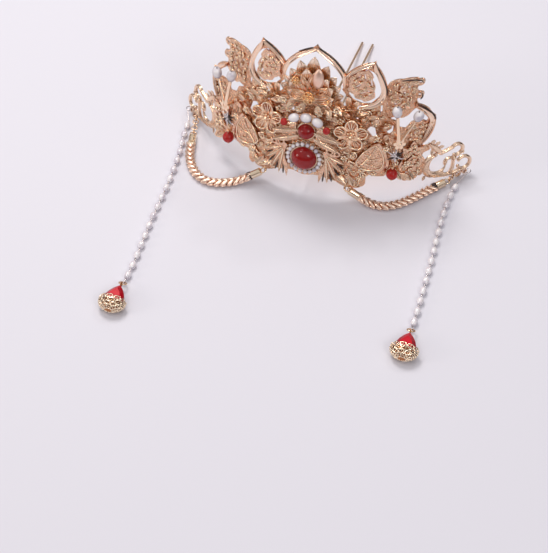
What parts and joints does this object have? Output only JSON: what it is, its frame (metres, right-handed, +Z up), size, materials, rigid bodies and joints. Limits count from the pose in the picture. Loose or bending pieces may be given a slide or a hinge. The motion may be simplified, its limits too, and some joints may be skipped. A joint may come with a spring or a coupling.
{
  "type": "phoenix crown",
  "caption": "Open-arc bridal headpiece in pierced rose gold with a lotus, red cabochons, pearls, braided swags, pearl strings with teardrops and a hair fork.",
  "frame": {"origin": "foot of the crest's middle on the floor it stands on, where the head's hollow is open", "axes": "+Z up, +Y from the front to the back of the crown, +X to the right as seen from the front"},
  "size_m": [0.1954, 0.2794, 0.1023],
  "materials": {
    "gold": "pale rose-gold plating, bright on raised edges",
    "red_stone": "opaque deep red, polished",
    "red_glass": "faceted, translucent red",
    "pearl": "lustrous white with a lavender cast"
  },
  "bodies": {
    "root": {"arc_bead_left": "red_stone", "arc_bead_right": "red_stone", "arc_pearl_left": "pearl", "arc_pearl_middle": "pearl", "arc_pearl_right": "pearl", "arc_wire": "gold", "blossom_left": "gold", "blossom_right": "gold", "broad_leaf_left": "gold", "broad_leaf_right": "gold", "cabochon": "red_stone", "cabochon_setting": "gold", "cloud_wing_left": "gold", "cloud_wing_right": "gold", "crest_plate": "gold", "drop_cup_left": "gold", "drop_cup_right": "gold", "drop_ring_left": "gold", "drop_ring_right": "gold", "drop_stone_left": "red_glass", "drop_stone_right": "red_glass", "ear_leaf_left": "gold", "ear_leaf_right": "gold", "end_scroll_left": "gold", "end_scroll_right": "gold", "feather_spray_left": "gold", "feather_spray_right": "gold", "front_field_left": "gold", "front_field_right": "gold", "hair_fork": "gold", "lotus_heart": "gold", "lotus_petals": "gold", "middle_shield": "gold", "pearl_ring": "pearl", "pearl_stems_left": "gold", "pearl_stems_right": "gold", "pearl_string_left": "pearl", "pearl_string_right": "pearl", "red_bead_left": "red_stone", "red_bead_right": "red_stone", "side_leaf_left": "gold", "side_leaf_right": "gold", "small_cabochon": "red_stone", "small_setting": "gold", "stem_pearl_left_inner": "pearl", "stem_pearl_left_outer": "pearl", "stem_pearl_right_inner": "pearl", "stem_pearl_right_outer": "pearl", "string_wire_left": "gold", "string_wire_right": "gold", "swag_cap_left_inner": "gold", "swag_cap_left_outer": "gold", "swag_cap_right_inner": "gold", "swag_cap_right_outer": "gold", "swag_left": "gold", "swag_right": "gold", "swag_rings_inner": "gold", "swag_rings_outer": "gold", "tail_fan_left": "gold", "tail_fan_right": "gold"}
  },
  "joints": []
}
